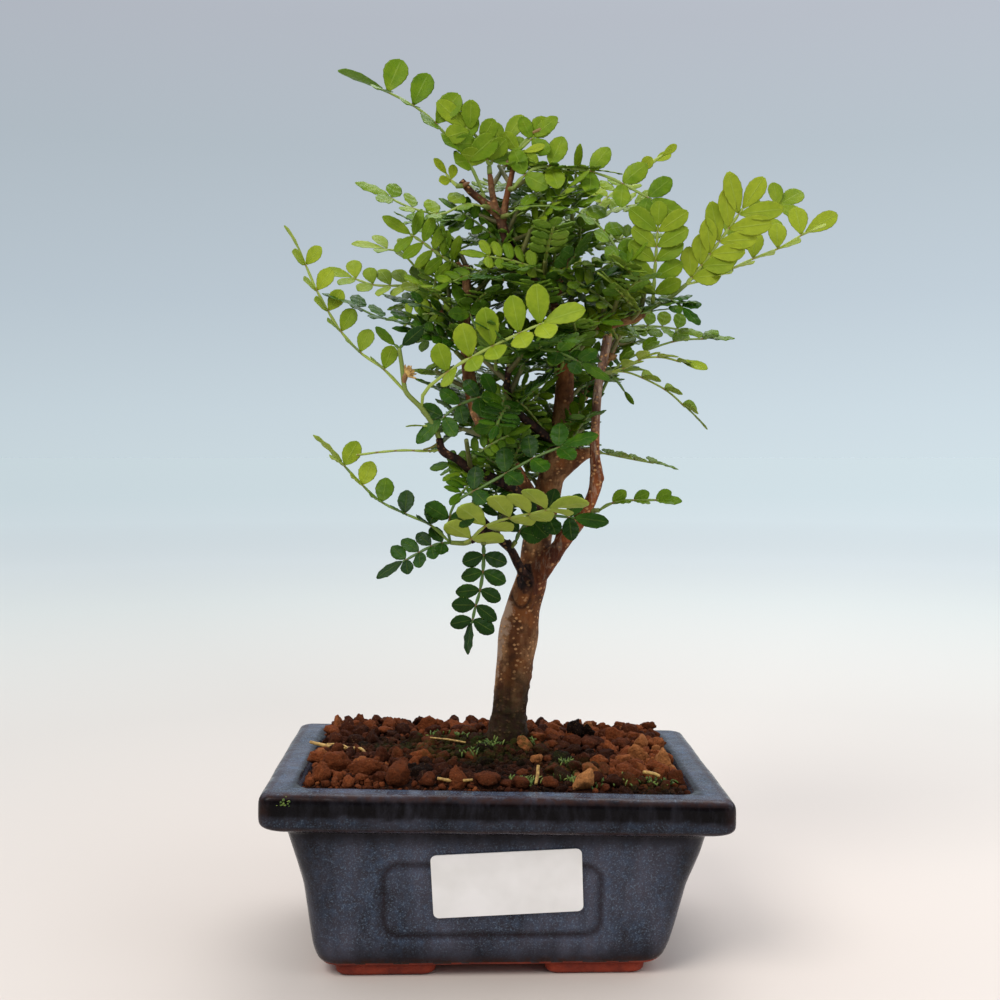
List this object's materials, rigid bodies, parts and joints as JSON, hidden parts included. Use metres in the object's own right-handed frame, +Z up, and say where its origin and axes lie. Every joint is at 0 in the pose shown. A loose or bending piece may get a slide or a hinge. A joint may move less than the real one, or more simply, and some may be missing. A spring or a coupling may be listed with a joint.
{
  "type": "chinese pepper bonsai",
  "caption": "Small bonsai tree with a spotted trunk and feather-shaped leaves, in grainy soil in a blue glazed rectangular pot on feet.",
  "frame": {"origin": "under the middle of the whole bonsai's box, on the surface that the pot's feet stand on", "axes": "+Z up, +X along the pot's long side to the right as seen from the front, +Y to the back"},
  "size_m": [0.1742, 0.1166, 0.2702],
  "materials": {
    "blue_glaze": "glossy mottled blue glaze, brown where it runs thin, brick red clay on the feet",
    "white_label": "blank satin paper",
    "black_mesh": "moulded",
    "grainy_soil": "matt clay grains in dark earth with a little moss",
    "bark": "rough grey-brown bark with pale spots",
    "leaf_young": "soft satin young leaf",
    "leaf_green": "satin leaf",
    "leaf_old": "glossy dark leaf"
  },
  "bodies": {
    "root": {"pot": "blue_glaze", "label": "white_label", "drain_mesh_left": "black_mesh", "drain_mesh_right": "black_mesh", "soil": "grainy_soil", "wood": "bark", "spray_top_left": "leaf_young", "spray_top_middle": "leaf_young", "spray_top_right": "leaf_green", "spray_right_arch": "leaf_green", "spray_right_lower_arch": "leaf_old", "spray_left_high": "leaf_green", "spray_young_tip": "leaf_young", "spray_left_fan": "leaf_green", "spray_left_far": "leaf_green", "spray_left_glossy": "leaf_old", "spray_left_dark": "leaf_old", "spray_left_shoot": "leaf_young", "spray_low_shoot": "leaf_green", "spray_hanging": "leaf_old", "spray_arched": "leaf_old", "spray_right_low": "leaf_old", "spray_right_middle": "leaf_green", "spray_right_shoot": "leaf_young", "spray_right_twig": "leaf_old", "spray_centre": "leaf_old", "spray_centre_top": "leaf_old", "bush_back_low": "leaf_old", "bush_back_low_right": "leaf_old", "bush_back_right": "leaf_old", "bush_back_middle": "leaf_old", "bush_back_top": "leaf_green", "bush_back_top_left": "leaf_old", "bush_left_end": "leaf_old", "bush_left_low": "leaf_old", "bush_trunk_left": "leaf_old", "bush_upper_front": "leaf_old", "bush_crown_back": "leaf_green", "bush_stub": "leaf_old"}
  },
  "joints": []
}
